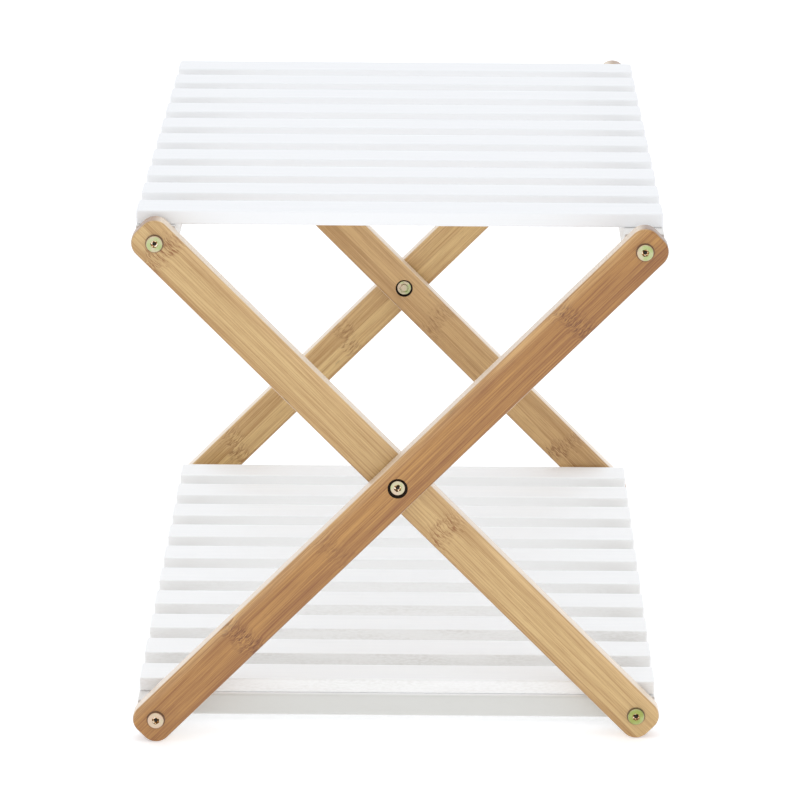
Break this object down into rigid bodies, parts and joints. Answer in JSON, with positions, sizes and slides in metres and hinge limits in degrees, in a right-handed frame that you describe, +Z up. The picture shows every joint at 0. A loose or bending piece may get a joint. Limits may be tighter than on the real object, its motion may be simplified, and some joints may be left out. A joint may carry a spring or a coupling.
{
  "type": "entryway bench",
  "caption": "Two-tier entryway bench: white slatted seat and shelf on white rails, bolted to crossed bamboo legs at each end.",
  "frame": {"origin": "on the floor, at the middle of the bench's footprint", "axes": "X left to right across the seat, Y front to rear along its length, Z up"},
  "size_m": [0.4002, 0.746, 0.4039],
  "materials": {
    "outer_leg_bamboo": "laminated caramel bamboo, clear satin lacquer",
    "inner_leg_bamboo": "laminated natural bamboo, clear satin lacquer",
    "white_paint": "satin white paint on wood battens",
    "yellow_zinc": "steel with pale yellow passivated zinc plating",
    "plain_zinc": "bright zinc plated steel",
    "nylon": "natural nylon washer",
    "beech": "bare beech dowel"
  },
  "bodies": {
    "root": {"outer_leg_front": "outer_leg_bamboo", "outer_leg_rear": "outer_leg_bamboo", "inner_leg_front": "inner_leg_bamboo", "inner_leg_rear": "inner_leg_bamboo", "seat_rail_right": "white_paint", "seat_rail_left": "white_paint", "shelf_rail_left": "white_paint", "shelf_rail_right": "white_paint", "stretcher_front": "white_paint", "stretcher_rear": "white_paint", "seat_slat_1": "white_paint", "seat_slat_2": "white_paint", "seat_slat_3": "white_paint", "seat_slat_4": "white_paint", "seat_slat_5": "white_paint", "seat_slat_6": "white_paint", "seat_slat_7": "white_paint", "seat_slat_8": "white_paint", "seat_slat_9": "white_paint", "seat_slat_10": "white_paint", "shelf_slat_1": "white_paint", "shelf_slat_2": "white_paint", "shelf_slat_3": "white_paint", "shelf_slat_4": "white_paint", "shelf_slat_5": "white_paint", "shelf_slat_6": "white_paint", "shelf_slat_7": "white_paint", "shelf_slat_8": "white_paint", "shelf_slat_9": "white_paint", "shelf_slat_10": "white_paint", "corner_bolts": "yellow_zinc", "rail_inserts": "plain_zinc", "pivot_bolts": "yellow_zinc", "pivot_nuts": "yellow_zinc", "pivot_spacers": "nylon", "seat_slat_screws": "plain_zinc", "shelf_slat_screws": "plain_zinc", "stretcher_dowels": "beech"}
  },
  "joints": []
}
